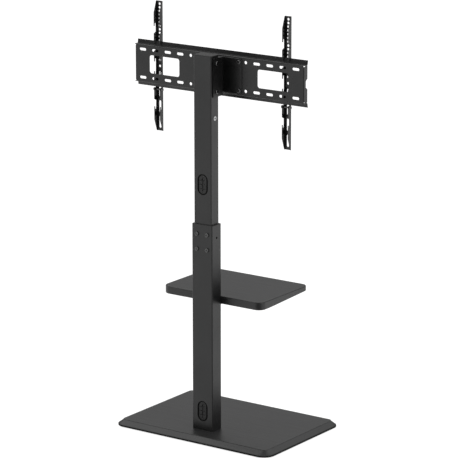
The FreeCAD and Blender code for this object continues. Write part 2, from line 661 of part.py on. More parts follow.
def shelf_board():
    """Board with round corners and soft edges, thinner to the front, with a flat pad for its bracket."""
    corners = rectangle(SHELF_WIDTH, SHELF_DEPTH, SHELF_CORNER, (0.0, LOWER_FRONT + SHELF_DEPTH / 2))
    board = prism(corners, level(SHELF_BOTTOM), (0, 0, SHELF_THICKNESS))
    flat_edges = [e for e in board.Edges if e.BoundBox.ZLength < TOUCHING]
    board = board.makeFillet(SHELF_ROUND, flat_edges)
    edge = SHELF_WIDTH / 2
    pad = BRACKET_WIDTH / 2 + SHELF_PAD_MARGIN
    pad_end = LOWER_FRONT + BRACKET_REACH + SHELF_PAD_MARGIN
    side_start = LOWER_FRONT + SHELF_SIDE_FLAT
    for start, left, right in ((side_start, -edge, -pad), (pad_end, -pad, pad), (side_start, pad, edge)):
        board = board.cut(shelf_taper(start, left, right))
    hole = (0, 0, SHELF_THICKNESS - SHELF_SCREW_COVER + BOLT_TIP + PAST)
    for x, y in shelf_screw_places():
        board = board.cut(rod((x, y, SHELF_BOTTOM - PAST), hole, SHELF_SCREW_RADIUS + THREAD_GAP))
    return board


def shelf_bracket():
    """Bent steel angle: one leg down the front of the column, one under the shelf."""
    inside = SHELF_BOTTOM - BRACKET_THICKNESS
    leg = LOWER_FRONT + BRACKET_THICKNESS
    tip = LOWER_FRONT + BRACKET_REACH
    corners = [(LOWER_FRONT, BRACKET_BOTTOM, 0.0), (leg, BRACKET_BOTTOM, 0.0), (leg, inside, BEND_INSIDE),
               (tip, inside, 0.0), (tip, SHELF_BOTTOM, 0.0),
               (LOWER_FRONT, SHELF_BOTTOM, BEND_INSIDE + BRACKET_THICKNESS)]
    angle = prism(corners, sideways(-BRACKET_WIDTH / 2), (BRACKET_WIDTH, 0, 0))
    through = BRACKET_THICKNESS + 2 * PAST
    for x, z in bracket_bolt_places():
        angle = angle.cut(rod((x, LOWER_FRONT - PAST, z), (0, through, 0), M6_RADIUS + HOLE_GAP))
    for x, y in shelf_screw_places():
        angle = angle.cut(rod((x, y, inside - PAST), (0, 0, through), SHELF_SCREW_RADIUS + HOLE_GAP))
    return angle


def shelf_bracket_bolts():
    """Four bolts through the bracket and the tube's front wall."""
    seat = LOWER_FRONT + BRACKET_THICKNESS
    length = BRACKET_THICKNESS + TUBE_WALL + M6_NUT_HEIGHT + BOLT_TIP
    return group(bolt((x, seat, z), (0, 1, 0), M6_BOLT, length) for x, z in bracket_bolt_places())


def shelf_bracket_nuts():
    """Four nuts welded inside the tube's front wall."""
    seat = LOWER_FRONT - TUBE_WALL
    return group(nut((x, seat, z), (0, -1, 0), M6_NUT) for x, z in bracket_bolt_places())


def shelf_screws():
    """Four screws up through the bracket into the shelf."""
    seat = SHELF_BOTTOM - BRACKET_THICKNESS
    length = BRACKET_THICKNESS + SHELF_THICKNESS - SHELF_SCREW_COVER
    return group(bolt((x, y, seat), (0, 0, -1), SHELF_SCREW, length) for x, y in shelf_screw_places())


def head_bolt_heights():
    """Heights of the two bolts across the column's head."""
    return (HEAD_BOTTOM + HEAD_BOLT_EDGE, HEAD_TOP - HEAD_BOLT_EDGE)


def head_bracket():
    """Two cheeks on the sides of the upper tube, joined in front of it by an upper and a lower ear."""
    cheek_rear = UPPER_FRONT - HEAD_LAP
    depth = HEAD_LAP + HEAD_REACH
    parts = []
    for x in (-HEAD_OUTSIDE, HEAD_INSIDE):
        parts.append(Part.makeBox(HEAD_SHEET, depth, HEAD_HEIGHT, Vector(x, cheek_rear, HEAD_BOTTOM)))
    for z in (HEAD_BOTTOM, HEAD_TOP - HEAD_SHEET):
        start = Vector(-HEAD_INSIDE, UPPER_FRONT + EAR_GAP, z)
        parts.append(Part.makeBox(2 * HEAD_INSIDE, HEAD_REACH - EAR_GAP, HEAD_SHEET, start))
        parts.append(rod((0, PIVOT_Y, z), (0, 0, HEAD_SHEET), EAR_RADIUS))
    bracket = parts[0].multiFuse(parts[1:]).removeSplitter()
    bracket = bracket.cut(rod((0, PIVOT_Y, HEAD_BOTTOM - PAST), (0, 0, HEAD_HEIGHT + 2 * PAST), PIVOT_HOLE))
    for z in head_bolt_heights():
        start = (-HEAD_OUTSIDE - PAST, HEAD_BOLT_Y, z)
        bracket = bracket.cut(rod(start, (2 * (HEAD_OUTSIDE + PAST), 0, 0), M8_RADIUS + HOLE_GAP))
    return bracket


def head_bolts():
    """Two bolts right across the cheeks and the upper tube."""
    length = 2 * HEAD_OUTSIDE + M8_NUT_HEIGHT + BOLT_TIP
    seats = [(HEAD_OUTSIDE, HEAD_BOLT_Y, z) for z in head_bolt_heights()]
    return group(bolt(seat, (1, 0, 0), M8_BOLT, length) for seat in seats)


def head_nuts():
    """Nuts of the two head bolts, on the left cheek."""
    return group(nut((-HEAD_OUTSIDE, HEAD_BOLT_Y, z), (-1, 0, 0), M8_NUT) for z in head_bolt_heights())


def pivot_bolt():
    """Long bolt down through both ears of the bracket and of the yoke."""
    length = HEAD_HEIGHT + PIVOT_NUT_HEIGHT + BOLT_TIP
    return bolt((0, PIVOT_Y, HEAD_TOP), (0, 0, 1), PIVOT_BOLT, length)


def pivot_nut():
    """Lock nut under the bracket's lower ear."""
    return nut((0, PIVOT_Y, HEAD_BOTTOM), (0, 0, -1), PIVOT_NUT)


def pivot_washers():
    """Two nylon washers between the ears of the bracket and of the yoke."""
    washers = []
    for z in (HEAD_BOTTOM + HEAD_SHEET, HEAD_TOP - HEAD_SHEET - WASHER_THICKNESS):
        disc = rod((0, PIVOT_Y, z), (0, 0, WASHER_THICKNESS), EAR_RADIUS)
        bore = rod((0, PIVOT_Y, z - PAST), (0, 0, WASHER_THICKNESS + 2 * PAST), PIVOT_HOLE)
        washers.append(disc.cut(bore))
    return group(washers)


def swivel_yoke():
    """Flat web behind the mounting plate with two tongues back to the pivot."""
    bottom = PLATE_Z - YOKE_HEIGHT / 2
    web_rear = PLATE_REAR - YOKE_SHEET
    corners = rectangle(YOKE_WIDTH, YOKE_HEIGHT, YOKE_CORNER, (0.0, PLATE_Z))
    web = prism(corners, upright(web_rear), (0, YOKE_SHEET, 0))
    rear_edges = [e for e in web.Edges if e.BoundBox.YMax < web_rear + TOUCHING]
    parts = [web.makeFillet(YOKE_ROUND, rear_edges)]
    tongue_length = web_rear - PIVOT_Y + YOKE_SHEET
    for z in (bottom, bottom + YOKE_HEIGHT - YOKE_SHEET):
        start = Vector(-EAR_RADIUS, PIVOT_Y, z)
        parts.append(Part.makeBox(2 * EAR_RADIUS, tongue_length, YOKE_SHEET, start))
        parts.append(rod((0, PIVOT_Y, z), (0, 0, YOKE_SHEET), EAR_RADIUS))
    yoke = parts[0].multiFuse(parts[1:]).removeSplitter()
    yoke = yoke.cut(rod((0, PIVOT_Y, bottom - PAST), (0, 0, YOKE_HEIGHT + 2 * PAST), PIVOT_HOLE))
    for x, z in yoke_bolt_places():
        yoke = yoke.cut(rod((x, web_rear - PAST, z), (0, YOKE_SHEET + 2 * PAST, 0), M8_RADIUS + HOLE_GAP))
    return yoke


def yoke_bolts():
    """Four bolts from behind through the yoke and the mounting plate."""
    length = YOKE_SHEET + PLATE_SHEET + M8_NUT_HEIGHT + BOLT_TIP
    seat = PLATE_REAR - YOKE_SHEET
    return group(bolt((x, seat, z), (0, -1, 0), M8_BOLT, length) for x, z in yoke_bolt_places())


def yoke_nuts():
    """Nuts of the yoke bolts, on the front of the mounting plate."""
    return group(nut((x, PLATE_FRONT, z), (0, 1, 0), M8_NUT) for x, z in yoke_bolt_places())


def plate_section():
    """(y, z) corners of the pressed section: web, two ledges forward and two lips that lean forward."""
    half = WEB_HEIGHT / 2
    upper = [(LIP_FRONT + LIP_LEAN, half + LIP_HEIGHT, 0.0), (LIP_REAR + LIP_LEAN, half + LIP_HEIGHT, 0.0),
             (LIP_REAR, half, BEND_INSIDE), (PLATE_REAR, half, BEND_OUTSIDE)]
    lower = [(y, -z, radius) for y, z, radius in reversed(upper)]
    inner = half - PLATE_SHEET
    front = [(LIP_FRONT, -inner, BEND_OUTSIDE), (PLATE_FRONT, -inner, BEND_INSIDE),
             (PLATE_FRONT, inner, BEND_INSIDE), (LIP_FRONT, inner, BEND_OUTSIDE)]
    return [(y, PLATE_Z + z, radius) for y, z, radius in upper + lower + front]


def plate_holes():
    """(x, z) outlines of every opening in the web, on both sides of the column."""
    holes = []
    slot_count = 1 + int((WEB_WIDTH / 2 - SLOT_END_MARGIN - SLOT_FIRST) / SLOT_PITCH)
    for side in (-1, 1):
        holes.append(rectangle(WINDOW_WIDTH, WINDOW_HEIGHT, WINDOW_RADIUS, (side * WINDOW_X, PLATE_Z)))
        for row in (-1, 1):
            z = PLATE_Z + row * HOLE_ROW_SPREAD / 2
            for i in range(slot_count):
                x = side * (SLOT_FIRST + i * SLOT_PITCH)
                holes.append(obround(SLOT_LENGTH, SLOT_HEIGHT, (x, z)))
    return holes


def plate_round_holes():
    """(x, z, radius) of the round holes in the web, the yoke bolts' among them."""
    holes = [(x, z, M8_RADIUS + HOLE_GAP) for x, z in yoke_bolt_places()]
    places = cross(2 * ROUND_HOLE_X, HOLE_ROW_SPREAD, (0.0, PLATE_Z))
    return holes + [(x, z, ROUND_HOLE_RADIUS) for x, z in places]


def end_flange(side):
    """Flange bent forward at one end of the web, with bend reliefs and a notch: plan cut to side view."""
    tall = WEB_HEIGHT / 2 - PLATE_SHEET - FLANGE_GAP
    short = tall - FLANGE_RELIEF
    step = PLATE_REAR + FLANGE_RELIEF_LENGTH
    front = PLATE_REAR + FLANGE_DEPTH
    mouth = NOTCH_MOUTH / 2
    bottom = NOTCH_BOTTOM / 2
    upper = [(front - NOTCH_DEPTH, bottom, BEND_INSIDE), (front, mouth, BEND_INSIDE),
             (front, tall, BEND_OUTSIDE), (step, tall, 0.0), (step, short, 0.0), (PLATE_REAR, short, 0.0)]
    lower = [(y, -z, radius) for y, z, radius in reversed(upper)]
    side_view = [(y, PLATE_Z + z, radius) for y, z, radius in upper + lower]
    outside = side * WEB_WIDTH / 2
    inside = outside - side * PLATE_SHEET
    start = inside - side * BEND_OUTSIDE
    plan = [(start, PLATE_REAR, 0.0), (outside, PLATE_REAR, BEND_OUTSIDE), (outside, front, 0.0),
            (inside, front, 0.0), (inside, PLATE_FRONT, BEND_INSIDE), (start, PLATE_FRONT, 0.0)]
    bent = prism(plan, level(PLATE_Z - tall), (0, 0, 2 * tall))
    return bent.common(prism(side_view, sideways(start), (outside - start, 0, 0)))


def mount_plate():
    """Pressed plate with hook-on lips, end flanges, two windows and two rows of holes."""
    half_length = WEB_WIDTH / 2 + LIP_OVERHANG
    plate = prism(plate_section(), sideways(-half_length), (2 * half_length, 0, 0))
    trim_height = WEB_HEIGHT - 2 * PLATE_SHEET
    web_end = WEB_WIDTH / 2 - BEND_OUTSIDE
    for side in (-1, 1):
        end = min(side * web_end, side * (half_length + PAST))
        trim = Part.makeBox(half_length + PAST - web_end, PLATE_SHEET + 2 * PAST, trim_height,
                            Vector(end, PLATE_REAR - PAST, PLATE_Z - trim_height / 2))
        plate = plate.cut(trim).fuse(end_flange(side))
    plate = plate.removeSplitter()
    for corners in plate_holes():
        plate = plate.cut(prism(corners, upright(PLATE_REAR - PAST), (0, PLATE_SHEET + 2 * PAST, 0)))
    for x, z, radius in plate_round_holes():
        plate = plate.cut(rod((x, PLATE_REAR - PAST, z), (0, PLATE_SHEET + 2 * PAST, 0), radius))
    return plate


def hook(tip):
    """(y, z) corners round one hook's slot, from the fin's edge to the wall below its mouth."""
    wall = LIP_FRONT + WALL_AHEAD_OF_LIP
    back = LIP_REAR - HOOK_GAP
    seat = tip + HOOK_DEPTH
    front = LIP_FRONT + LIP_LEAN + HOOK_GAP
    return [(ARM_REAR, tip, 0.0), (back, tip, 0.0), (back, seat, 0.0), (front, seat, 0.0), (wall, tip, 0.0)]


def arm_profile():
    """(y, z) corners of the arm seen from the side: tapered ends, fins, hooks above and a lug below."""
    wall = LIP_FRONT + WALL_AHEAD_OF_LIP
    end = ARM_FRONT - ARM_SHEET - ARM_END_WALL
    half = ARM_HEIGHT / 2
    outer_fin = OUTER_TIP - HOOK_MOUTH
    inner_fin = CARRYING_TIP - HOOK_MOUTH
    tops = [(ARM_FRONT, half, 0.0), (end, half, 0.0), (ARM_REAR, FIN_TOP, 0.0)]
    upper_fin = [(wall, outer_fin + HOOK_SLOPE, 0.0), (ARM_REAR, outer_fin, 0.0)]
    inner_part = [(wall, inner_fin + HOOK_SLOPE, 0.0), (ARM_REAR, inner_fin, 0.0)]
    above = tops + hook(OUTER_TIP) + upper_fin + hook(CARRYING_TIP) + inner_part + hook(INNER_TIP)
    lug = LUG_TOP - ARM_Z
    bearing = LIP_FRONT + LIP_LEAN + HOOK_REST
    lug_end = min(-outer_fin, lug - 2 * LOCK_BOLT_DROP)
    fin = FIN_BOTTOM - ARM_Z
    lug_part = [(ARM_REAR, fin, 0.0), (bearing, fin, 0.0), (bearing, lug, 0.0), (ARM_REAR, lug, 0.0),
                (ARM_REAR, lug_end, 0.0), (wall, lug_end - HOOK_SLOPE, 0.0)]
    mirrored_inner = [(y, -z, radius) for y, z, radius in reversed(hook(INNER_TIP))]
    mirrored_outer = [(y, -z, radius) for y, z, radius in reversed(tops + hook(OUTER_TIP))]
    below = mirrored_inner + lug_part + mirrored_outer
    return [(y, ARM_Z + z, radius) for y, z, radius in above + below]


def arm_slots(x):
    """(x, z) outlines of the screw slots in the lower half of an arm's face."""
    slots = []
    first = ARM_Z - ARM_HEIGHT / 2 + ARM_SLOT_MARGIN + ARM_SLOT_LENGTH / 2
    for i in range(ARM_SLOT_COUNT):
        slots.append(obround(2 * ARM_HOLE_RADIUS, ARM_SLOT_LENGTH, (x, first + i * ARM_SLOT_PITCH)))
    short = first + ARM_SLOT_COUNT * ARM_SLOT_PITCH - (ARM_SLOT_LENGTH - ARM_SHORT_SLOT) / 2
    slots.append(obround(2 * ARM_HOLE_RADIUS, ARM_SHORT_SLOT, (x, short)))
    return slots


def arm_hole_heights():
    """Heights of the round screw holes in an arm's face."""
    top = ARM_HEIGHT / 2 - ARM_HOLE_MARGIN
    count = int((top - ARM_LONE_HOLE) / ARM_HOLE_PITCH)
    row = [ARM_Z + top - i * ARM_HOLE_PITCH for i in range(count)]
    return row + [ARM_Z + ARM_LONE_HOLE, ARM_Z]


def arm(x):
    """Channel with its face to the screen, its two walls cut to fins, hooks and a lug for the lock bolt."""
    inside_radius = max(ARM_BEND - ARM_SHEET, SEAT_FIT)
    left = x - ARM_WIDTH / 2
    right = x + ARM_WIDTH / 2
    inner = ARM_FRONT - ARM_SHEET
    section = [(left, ARM_REAR, 0.0), (left + ARM_SHEET, ARM_REAR, 0.0),
               (left + ARM_SHEET, inner, inside_radius), (right - ARM_SHEET, inner, inside_radius),
               (right - ARM_SHEET, ARM_REAR, 0.0), (right, ARM_REAR, 0.0),
               (right, ARM_FRONT, ARM_BEND), (left, ARM_FRONT, ARM_BEND)]
    channel = prism(section, level(ARM_Z - ARM_HEIGHT / 2), (0, 0, ARM_HEIGHT))
    body = channel.common(prism(arm_profile(), sideways(left - PAST), (ARM_WIDTH + 2 * PAST, 0, 0)))
    through = (0, ARM_SHEET + 2 * PAST, 0)
    for corners in arm_slots(x):
        body = body.cut(prism(corners, upright(inner - PAST), through))
    for z in arm_hole_heights():
        body = body.cut(rod((x, inner - PAST, z), through, ARM_HOLE_RADIUS))
    bolt_start = (left - PAST, LOCK_BOLT_Y, LOCK_BOLT_Z)
    return body.cut(rod(bolt_start, (ARM_WIDTH + 2 * PAST, 0, 0), M6_RADIUS + HOLE_GAP))


def lock_bolt(x):
    """Bolt across an arm just under the plate's lower lip, so that the arm can't lift off."""
    length = ARM_WIDTH + M6_NUT_HEIGHT + BOLT_TIP
    return bolt((x - ARM_WIDTH / 2, LOCK_BOLT_Y, LOCK_BOLT_Z), (-1, 0, 0), LOCK_BOLT, length)


def lock_nut(x):
    """Nut of an arm's lock bolt."""
    return nut((x + ARM_WIDTH / 2, LOCK_BOLT_Y, LOCK_BOLT_Z), (1, 0, 0), M6_NUT)


pieces = {
    "base_board": base_board(),
    "base_pads": base_pads(),
    "base_plate": base_plate(),
    "base_bolts": base_bolts(),
    "column_foot": column_foot(),
    "lower_column": lower_column(),
    "lower_cable_cover": cable_cover(LOWER_REAR, LOWER_COVER_Z),
    "column_sleeve": column_sleeve(),
    "height_bolts": height_bolts(),
    "height_clamp_plate": clamp_plate(),
    "side_grub_screw": side_grub_screw(),
    "shelf_board": shelf_board(),
    "shelf_bracket": shelf_bracket(),
    "shelf_bracket_bolts": shelf_bracket_bolts(),
    "shelf_bracket_nuts": shelf_bracket_nuts(),
    "shelf_screws": shelf_screws(),
    "upper_column": upper_column(),
    "upper_glide": upper_glide(),
    "column_cap": column_cap(),
    "upper_cable_cover": cable_cover(UPPER_REAR, UPPER_COVER_Z),
    "side_bush": side_bush(),
    "head_bracket": head_bracket(),
    "head_bolts": head_bolts(),
    "head_nuts": head_nuts(),
    "pivot_bolt": pivot_bolt(),
    "pivot_nut": pivot_nut(),
    "pivot_washers": pivot_washers(),
    "swivel_yoke": swivel_yoke(),
    "yoke_bolts": yoke_bolts(),
    "yoke_nuts": yoke_nuts(),
    "mount_plate": mount_plate(),
}
for side, place in (("left", -ARM_SPREAD / 2), ("right", ARM_SPREAD / 2)):
    pieces[side + "_arm"] = arm(place)
    pieces[side + "_lock_bolt"] = lock_bolt(place)
    pieces[side + "_lock_nut"] = lock_nut(place)

os.makedirs("parts", exist_ok=True)
for name, shape in pieces.items():
    state = "valid" if shape.isValid() else "not valid"
    print(name, len(shape.Solids), "solids,", round(shape.Volume), "cubic mm,", state)
    shape.exportStep("parts/" + name + ".step")
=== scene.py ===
import json
import math

import bpy
import numpy as np
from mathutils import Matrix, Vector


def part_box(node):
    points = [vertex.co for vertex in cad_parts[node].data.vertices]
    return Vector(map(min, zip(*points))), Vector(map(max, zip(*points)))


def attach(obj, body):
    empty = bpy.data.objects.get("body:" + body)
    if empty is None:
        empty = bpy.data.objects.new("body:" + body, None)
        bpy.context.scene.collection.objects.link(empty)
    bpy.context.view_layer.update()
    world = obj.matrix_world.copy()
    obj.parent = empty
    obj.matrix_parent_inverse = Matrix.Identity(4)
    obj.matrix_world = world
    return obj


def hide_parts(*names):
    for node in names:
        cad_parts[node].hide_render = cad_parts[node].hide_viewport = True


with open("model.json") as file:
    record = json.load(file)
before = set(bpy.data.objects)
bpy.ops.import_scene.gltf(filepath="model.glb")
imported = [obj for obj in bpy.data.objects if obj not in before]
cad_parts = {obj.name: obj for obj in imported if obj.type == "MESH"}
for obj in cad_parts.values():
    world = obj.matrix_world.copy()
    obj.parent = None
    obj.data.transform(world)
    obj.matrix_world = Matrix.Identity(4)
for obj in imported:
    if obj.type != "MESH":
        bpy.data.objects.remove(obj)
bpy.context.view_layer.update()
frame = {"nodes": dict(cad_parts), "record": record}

MM = 0.001


# Node trees.

def feed(tree, value, socket):
    """Give a socket its value; a value that is itself a socket is linked."""
    if isinstance(value, bpy.types.NodeSocket):
        tree.links.new(value, socket)
    else:
        socket.default_value = value


def put(tree, kind, inputs=None, **settings):
    """New node of a kind, with its settings and inputs."""
    node = tree.nodes.new(kind)
    for name, value in settings.items():
        setattr(node, name, value)
    for name, value in (inputs or {}).items():
        feed(tree, value, node.inputs[name])
    return node


def maths(tree, kind, first, second):
    """Value of a Math node of that kind."""
    return put(tree, "ShaderNodeMath", {0: first, 1: second}, operation=kind).outputs[0]


def add(tree, first, second):
    """Sum of two values."""
    return maths(tree, "ADD", first, second)


def times(tree, first, second):
    """Product of two values."""
    return maths(tree, "MULTIPLY", first, second)


def vector_maths(tree, kind, first, second=(0.0, 0.0, 0.0)):
    """Outputs of a Vector Math node of that kind."""
    return put(tree, "ShaderNodeVectorMath", {0: first, 1: second}, operation=kind).outputs


def axes_of(tree, vector):
    """The x, y and z of a vector."""
    return put(tree, "ShaderNodeSeparateXYZ", {0: vector}).outputs


def spread(tree, value, low, high, to_low, to_high, curve="LINEAR"):
    """Value carried from one range to another and held inside it."""
    ranges = {"Value": value, "From Min": low, "From Max": high, "To Min": to_low, "To Max": to_high}
    return put(tree, "ShaderNodeMapRange", ranges, interpolation_type=curve).outputs[0]


def noise(tree, place, scale, detail=2.0, roughness=0.5):
    """Soft noise of so many features per metre."""
    values = {"Vector": place, "Scale": scale, "Detail": detail, "Roughness": roughness}
    return put(tree, "ShaderNodeTexNoise", values).outputs["Fac"]


def cells(tree, place, scale, feature="F1"):
    """Outputs of a pattern of so many cells per metre."""
    return put(tree, "ShaderNodeTexVoronoi", {"Vector": place, "Scale": scale}, feature=feature).outputs


def stretched(tree, place, scales):
    """Places multiplied along each axis, so that noise of scale 1 is drawn out along the least of them."""
    return put(tree, "ShaderNodeMapping", {"Vector": place, "Scale": scales}).outputs[0]


def blend(tree, share, first, second):
    """Colour between two colours."""
    return put(tree, "ShaderNodeMix", {0: share, 6: first, 7: second}, data_type="RGBA").outputs[2]


def grey(value, warmth=0.0):
    """Near-neutral colour; warmth above 0 is warmer, below 0 is cooler."""
    return (value * (1 + warmth), value, value * (1 - warmth), 1.0)


# Effects that the finishes share.

FLOAT, VECTOR, COLOUR = "NodeSocketFloat", "NodeSocketVector", "NodeSocketColor"


def effect(name, takes, gives):
    """Empty node group with named inputs (name, kind, value) and outputs (name, kind)."""
    tree = bpy.data.node_groups.new(name, "ShaderNodeTree")
    for label, kind, value in takes:
        socket = tree.interface.new_socket(label, in_out="INPUT", socket_type=kind)
        if value is not None:
            socket.default_value = value
    for label, kind in gives:
        tree.interface.new_socket(label, in_out="OUTPUT", socket_type=kind)
    return tree, tree.nodes.new("NodeGroupInput").outputs, tree.nodes.new("NodeGroupOutput").inputs


def make_coat_skin():
    """Baked powder coat: rounded peel a millimetre or so across, finer pin grain, and slow drifts in tone."""
    tree, take, give = effect(
        "coat_skin",
        [("Place", VECTOR, None), ("Peel per metre", FLOAT, 700.0), ("Paint", COLOUR, grey(0.02)),
         ("Drift", FLOAT, 0.2), ("Sheen", FLOAT, 0.4)],
        [("Colour", COLOUR), ("Roughness", FLOAT), ("Height", FLOAT)])
    place, paint = take["Place"], take["Paint"]
    peel = noise(tree, place, take["Peel per metre"], 1.0)
    pins = noise(tree, place, times(tree, take["Peel per metre"], 4.1), 1.0)
    slow = noise(tree, place, 9.0, 3.0)
    lift = times(tree, spread(tree, slow, 0.3, 0.7, -1.0, 1.0), take["Drift"])
    fleck = spread(tree, pins, 0.62, 0.72, 0.0, 0.35)
    share = add(tree, add(tree, lift, fleck), 1.0)
    tone = put(tree, "ShaderNodeVectorMath", {0: paint, "Scale": share}, operation="SCALE").outputs[0]
    rough = add(tree, take["Sheen"], spread(tree, peel, 0.3, 0.7, -0.05, 0.05))
    feed(tree, tone, give["Colour"])
    feed(tree, add(tree, rough, times(tree, lift, 0.25)), give["Roughness"])
    feed(tree, add(tree, peel, times(tree, pins, 0.35)), give["Height"])
    return tree


def make_edge_wear_and_highlight():
    """Edge wear and painted edge highlight: most where a rounded normal leaves the flat one, broken up by
    noise.
    """
    tree, take, give = effect(
        "edge_wear_and_highlight",
        [("Place", VECTOR, None), ("Width", FLOAT, 1.2 * MM), ("Amount", FLOAT, 0.5)],
        [("Wear_and_highlight", FLOAT)])
    rounded = put(tree, "ShaderNodeBevel", {"Radius": take["Width"]}, samples=4).outputs[0]
    flat = put(tree, "ShaderNodeNewGeometry").outputs["Normal"]
    close = vector_maths(tree, "DOT_PRODUCT", rounded, flat)["Value"]
    edge = spread(tree, close, 0.97, 0.80, 0.0, 1.0)
    broken = spread(tree, noise(tree, take["Place"], 160.0, 3.0, 0.65), 0.42, 0.62, 0.15, 1.0)
    feed(tree, times(tree, times(tree, edge, broken), take["Amount"]), give["Wear_and_highlight"])
    return tree


def make_settled_dust():
    """Share of settled dust: on faces that look up, in soft patches with specks in them."""
    tree, take, give = effect(
        "settled_dust",
        [("Place", VECTOR, None), ("Amount", FLOAT, 0.1)],
        [("Dust", FLOAT)])
    up = axes_of(tree, put(tree, "ShaderNodeNewGeometry").outputs["Normal"])[2]
    top = spread(tree, up, 0.75, 0.98, 0.0, 1.0)
    patches = spread(tree, noise(tree, take["Place"], 14.0, 4.0, 0.6), 0.35, 0.75, 0.35, 1.0)
    specks = spread(tree, noise(tree, take["Place"], 900.0, 1.0), 0.5, 0.75, 0.55, 1.25)
    dust = times(tree, times(tree, top, patches), specks)
    feed(tree, times(tree, dust, take["Amount"]), give["Dust"])
    return tree


coat_skin = make_coat_skin()
edge_wear_and_highlight = make_edge_wear_and_highlight()
settled_dust = make_settled_dust()


def use(tree, group, **values):
    """Outputs of a shared effect placed in a material; an underscore in a value's name stands for a space."""
    inputs = {name.replace("_", " "): value for name, value in values.items()}
    return put(tree, "ShaderNodeGroup", inputs, node_tree=group).outputs


def worn_and_highlit(tree, place, width, amount):
    """Share of edge wear and painted edge highlight along edges of that width in metres."""
    return use(tree, edge_wear_and_highlight, Place=place, Width=width, Amount=amount)["Wear_and_highlight"]


def dusty(tree, place, amount):
    """Share of settled dust."""
    return use(tree, settled_dust, Place=place, Amount=amount)["Dust"]


# Finishes.

DUST_ON_SATIN = grey(0.32, 0.03)
DUST_ON_PLASTIC = grey(0.30, 0.03)
DUST_ON_PLATE = grey(0.35, 0.03)
DUST_ROUGHNESS = 0.6
# Height and fade of the painted shade that darkens the base board's lowest edge.
SHADE_EDGE_RISE = 5.2 * MM
SHADE_EDGE_FADE = 1.2 * MM

board_low, board_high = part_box("base_board")


def start_finish(name):
    """New material: its tree, its Principled shader and its Object coordinates."""
    material = bpy.data.materials.new(name)
    material.use_nodes = True
    tree = material.node_tree
    return material, tree, tree.nodes["Principled BSDF"], put(tree, "ShaderNodeTexCoord").outputs["Object"]


def dress(tree, shader, colour, rough, height, depth):
    """Shader with its colour, its roughness and bumps of that depth in metres."""
    feed(tree, colour, shader.inputs["Base Color"])
    feed(tree, rough, shader.inputs["Roughness"])
    bump = put(tree, "ShaderNodeBump", {"Height": height, "Distance": depth, "Strength": 1.0})
    feed(tree, bump.outputs[0], shader.inputs["Normal"])


def painted_steel(name, paint, sheen, peel, depth, worn_and_highlit_tone=0.06, wear_and_highlight_amount=0.5, ior=1.5):
    """Powder-coated steel: coat skin, lighter edges that are partly thin coat and partly painted highlight,
    and a little dust on top.
    """
    material, tree, shader, place = start_finish(name)
    coat = use(tree, coat_skin, Place=place, Peel_per_metre=peel, Paint=paint, Sheen=sheen)
    soiled = dusty(tree, place, 0.02)
    # Lighter edges: partly thin coat, partly painted highlight.
    colour = blend(tree, worn_and_highlit(tree, place, 1.1 * MM, wear_and_highlight_amount), coat["Colour"], grey(worn_and_highlit_tone))
    colour = blend(tree, soiled, colour, DUST_ON_SATIN)
    rough = add(tree, coat["Roughness"], times(tree, soiled, DUST_ROUGHNESS))
    shader.inputs["IOR"].default_value = ior
    dress(tree, shader, colour, rough, coat["Height"], depth)
    return material


def board_film():
    """Satin film pressed on fibreboard: fine leathery emboss, faint long streaks, edges lighter by wear and
    by painted highlight, and a little dust. The base board's lowest edge is painted shade: near black,
    rougher."""
    material, tree, shader, place = start_finish("board film")
    leather = cells(tree, place, 1500.0, "SMOOTH_F1")[0]
    fine = noise(tree, place, 2600.0)
    streak = noise(tree, stretched(tree, place, (6.0, 160.0, 160.0)), 1.0, 3.0, 0.6)
    slow = noise(tree, place, 5.0)
    tone = add(tree, times(tree, streak, 0.25), times(tree, slow, 0.35))
    share = spread(tree, tone, 0.15, 0.45, 0.0, 1.0)
    soiled = dusty(tree, place, 0.02)
    shade_edge_top = board_low.z + SHADE_EDGE_RISE
    painted_shade_edge = spread(tree, axes_of(tree, place)[2], shade_edge_top, shade_edge_top + SHADE_EDGE_FADE, 1.0, 0.0)
    colour = blend(tree, share, grey(0.011, -0.02), grey(0.016, -0.02))
    # Lighter edges: partly worn film, partly painted highlight.
    colour = blend(tree, worn_and_highlit(tree, place, 1.6 * MM, 0.35), colour, grey(0.05))
    colour = blend(tree, soiled, colour, DUST_ON_SATIN)
    # Painted shade: the base board's lowest edge near black.
    colour = blend(tree, painted_shade_edge, colour, grey(0.003))
    rough = spread(tree, streak, 0.3, 0.7, 0.33, 0.41)
    rough = add(tree, rough, times(tree, soiled, DUST_ROUGHNESS))
    rough = add(tree, rough, times(tree, painted_shade_edge, 0.5))
    dress(tree, shader, colour, rough, add(tree, leather, times(tree, fine, 0.5)), 0.06 * MM)
    return material


def moulded_plastic(name, tone, sheen, grain, depth):
    """Spark-grained moulded plastic: fine even grain, slightly paler edges that are partly wear and partly
    painted highlight, dull with dust on top.
    """
    material, tree, shader, place = start_finish(name)
    grains = cells(tree, place, grain)[0]
    colour = blend(tree, noise(tree, place, 40.0), grey(tone * 0.85), grey(tone * 1.15))
    colour = blend(tree, worn_and_highlit(tree, place, 0.7 * MM, 0.45), colour, grey(tone * 2.6))
    colour = blend(tree, dusty(tree, place, 0.06), colour, DUST_ON_PLASTIC)
    rough = spread(tree, grains, 0.0, 0.8, sheen - 0.06, sheen + 0.08)
    dress(tree, shader, colour, rough, grains, depth)
    return material


